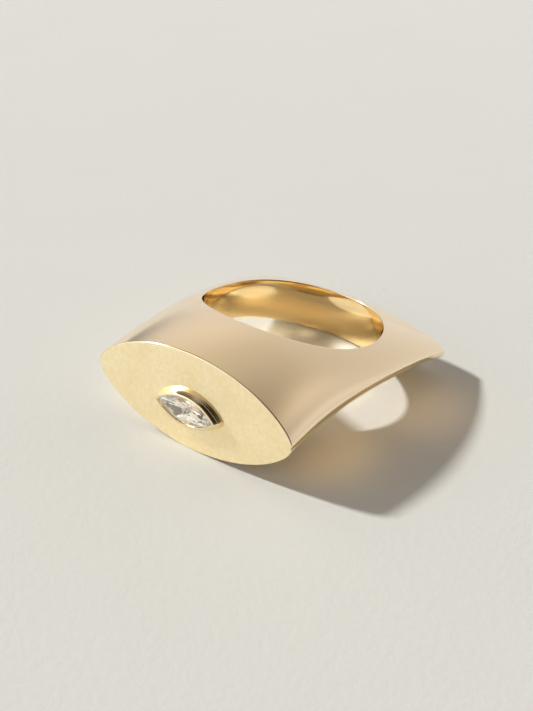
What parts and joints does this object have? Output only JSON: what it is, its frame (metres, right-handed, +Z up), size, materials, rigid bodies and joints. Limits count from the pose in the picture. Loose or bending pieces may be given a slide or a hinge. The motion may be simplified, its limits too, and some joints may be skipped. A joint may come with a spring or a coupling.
{
  "type": "ring",
  "caption": "Eye-shaped gold ring: a flat satin face with a raised bezel and a marquise-cut stone, on an arched body that thins towards the back round the finger bore.",
  "frame": {"origin": "on the plane that the ring lies on, at the middle of its box in X and Y", "axes": "+Z up; -Y towards the eye-shaped face with the stone; +Y towards the thin back; X along the eye, from tip to tip"},
  "size_m": [0.0226, 0.0248, 0.0096],
  "materials": {
    "gold": "yellow gold, polished, with a satin face",
    "stone": "clear cut stone, faceted"
  },
  "bodies": {
    "root": {"ring_body": "gold", "stone": "stone"}
  },
  "joints": []
}
